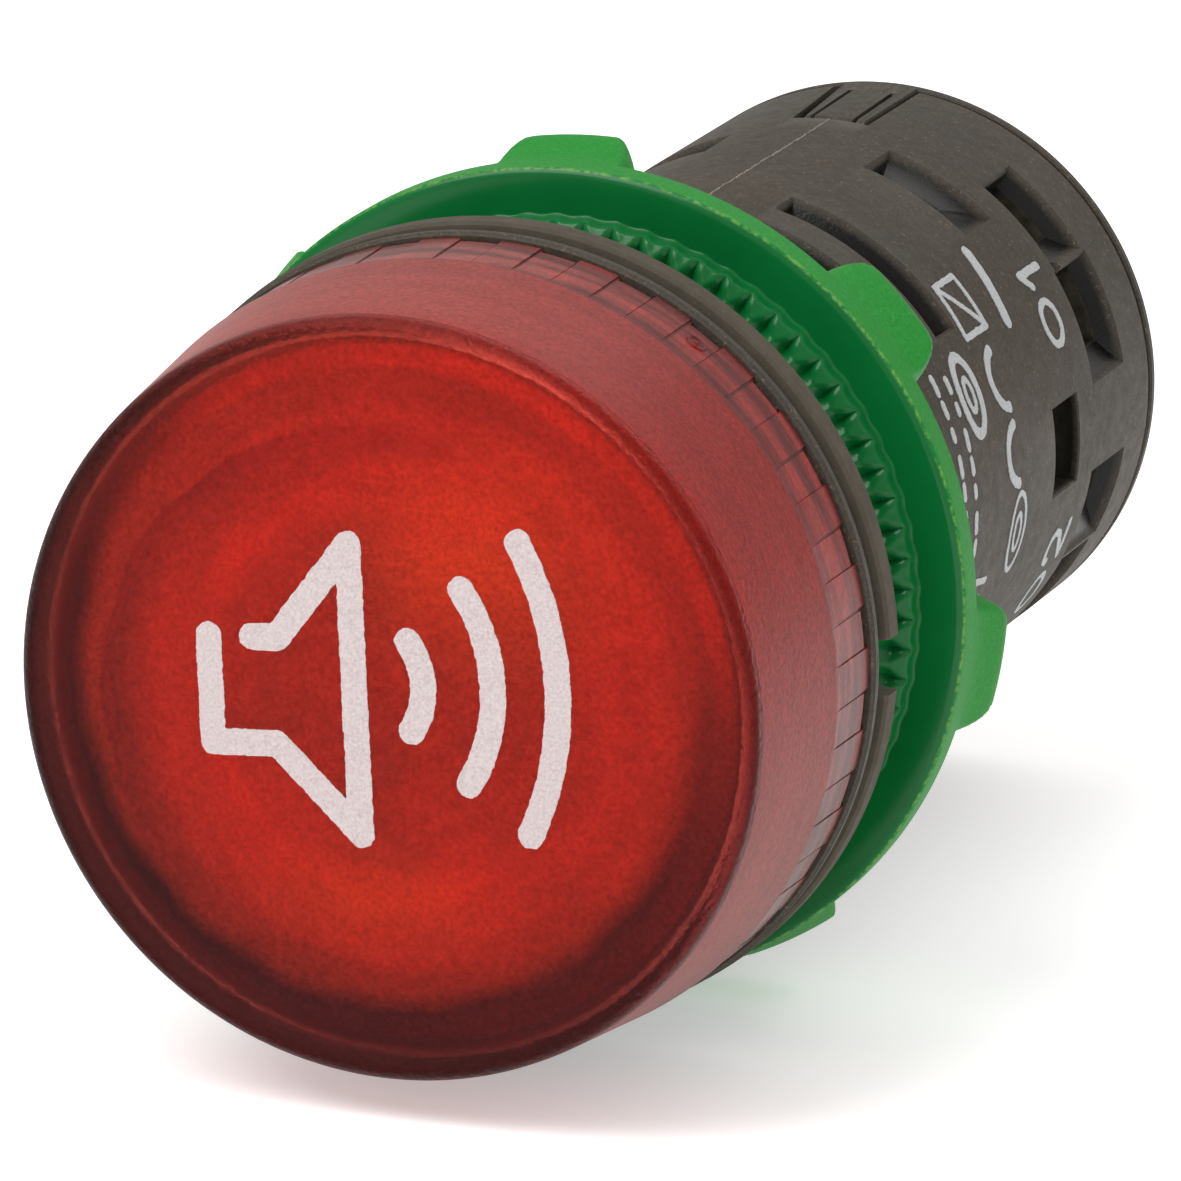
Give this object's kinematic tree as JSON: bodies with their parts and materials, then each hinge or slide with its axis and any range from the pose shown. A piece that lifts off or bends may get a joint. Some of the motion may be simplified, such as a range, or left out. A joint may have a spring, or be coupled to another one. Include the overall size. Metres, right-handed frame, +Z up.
{
  "type": "panel-mount illuminated buzzer",
  "caption": "Round panel-mount illuminated buzzer: red frosted lens with a loudspeaker symbol, threaded dark barrel with a green lobed fixing nut, and screw terminals at the rear.",
  "frame": {"origin": "on the device's axis at the rear face of the panel seal, which is the centre of the panel cut-out", "axes": "+Y runs from the lens to the rear along the axis, +Z is up when the loudspeaker symbol is upright, +X is the side with the wire entries"},
  "size_m": [0.0309, 0.0538, 0.0307],
  "materials": {
    "red_lens": "frosted translucent polycarbonate",
    "milky": "milky translucent",
    "dark_body": "fine moulded texture",
    "seal_rubber": "matt rubber",
    "green_nut": "moulded, gloss front and sandblasted rim",
    "board_green": "solder mask",
    "component_black": "moulded epoxy",
    "component_yellow": "moulded case",
    "component_blue": "dipped epoxy",
    "ceramic": "unglazed",
    "led_white": "clear resin over white housing",
    "copper": "enamelled winding",
    "brass": "satin",
    "steel": "zinc plated",
    "aluminium": "sleeved can",
    "wire_red": "insulation",
    "wire_black": "insulation",
    "white_print": "pad-printed ink"
  },
  "bodies": {
    "housing": {"lens_cap": "red_lens", "light_diffuser": "milky", "led_board": "board_green", "led_1": "led_white", "led_2": "led_white", "led_3": "led_white", "led_4": "led_white", "led_5": "led_white", "led_6": "led_white", "piezo_ceramic_disc": "ceramic", "piezo_brass_disc": "brass", "piezo_gasket": "seal_rubber", "resonance_chamber": "dark_body", "housing_body": "dark_body", "panel_seal": "seal_rubber", "main_board": "board_green", "driver_chip": "component_black", "boost_coil": "copper", "varistor": "component_blue", "film_capacitor": "component_yellow", "smoothing_capacitor": "aluminium", "rectifier": "component_black", "dropper_resistor": "ceramic", "terminal_bar_x1": "brass", "terminal_bar_x2": "brass", "terminal_block": "dark_body", "rear_cover": "dark_body", "led_wire_pos": "wire_red", "led_wire_neg": "wire_black", "piezo_wire_pos": "wire_red", "piezo_wire_neg": "wire_black", "supply_wire_pos": "wire_red", "supply_wire_neg": "wire_black"},
    "nut_carrier": {"nut_flange_ring": "green_nut"},
    "nut": {"nut_lobed_hub": "green_nut"},
    "clamp_x1": {"clamp_plate_x1": "steel"},
    "screw_x1": {"terminal_screw_x1": "steel"},
    "clamp_x2": {"clamp_plate_x2": "steel"},
    "screw_x2": {"terminal_screw_x2": "steel"}
  },
  "joints": [
    {"name": "nut_travel", "type": "slide", "parent": "housing", "child": "nut_carrier", "axis": [0, 1, 0], "range_m": [-0.003, 0.006]},
    {"name": "nut_turn", "type": "hinge", "parent": "nut_carrier", "child": "nut", "pos_m": [0, 0, 0], "axis": [0, 1, 0], "range_deg": [-721, 1441]},
    {"name": "clamp_x1_travel", "type": "slide", "parent": "housing", "child": "clamp_x1", "axis": [0, 1, 0], "range_m": [-0.001, 0.0005]},
    {"name": "screw_x1_turn", "type": "hinge", "parent": "clamp_x1", "child": "screw_x1", "pos_m": [0.0042, 0.0369, 0.0036], "axis": [0, 1, 0], "range_deg": [-721, 361]},
    {"name": "clamp_x2_travel", "type": "slide", "parent": "housing", "child": "clamp_x2", "axis": [0, 1, 0], "range_m": [-0.001, 0.0005]},
    {"name": "screw_x2_turn", "type": "hinge", "parent": "clamp_x2", "child": "screw_x2", "pos_m": [0.0042, 0.0369, -0.0036], "axis": [0, 1, 0], "range_deg": [-721, 361]}
  ],
  "couplings": [
    {"joint": "nut_turn", "follows": "nut_travel", "rad_per_m": 4188.8},
    {"joint": "screw_x1_turn", "follows": "clamp_x1_travel", "rad_per_m": 12566},
    {"joint": "screw_x2_turn", "follows": "clamp_x2_travel", "rad_per_m": 12566}
  ]
}
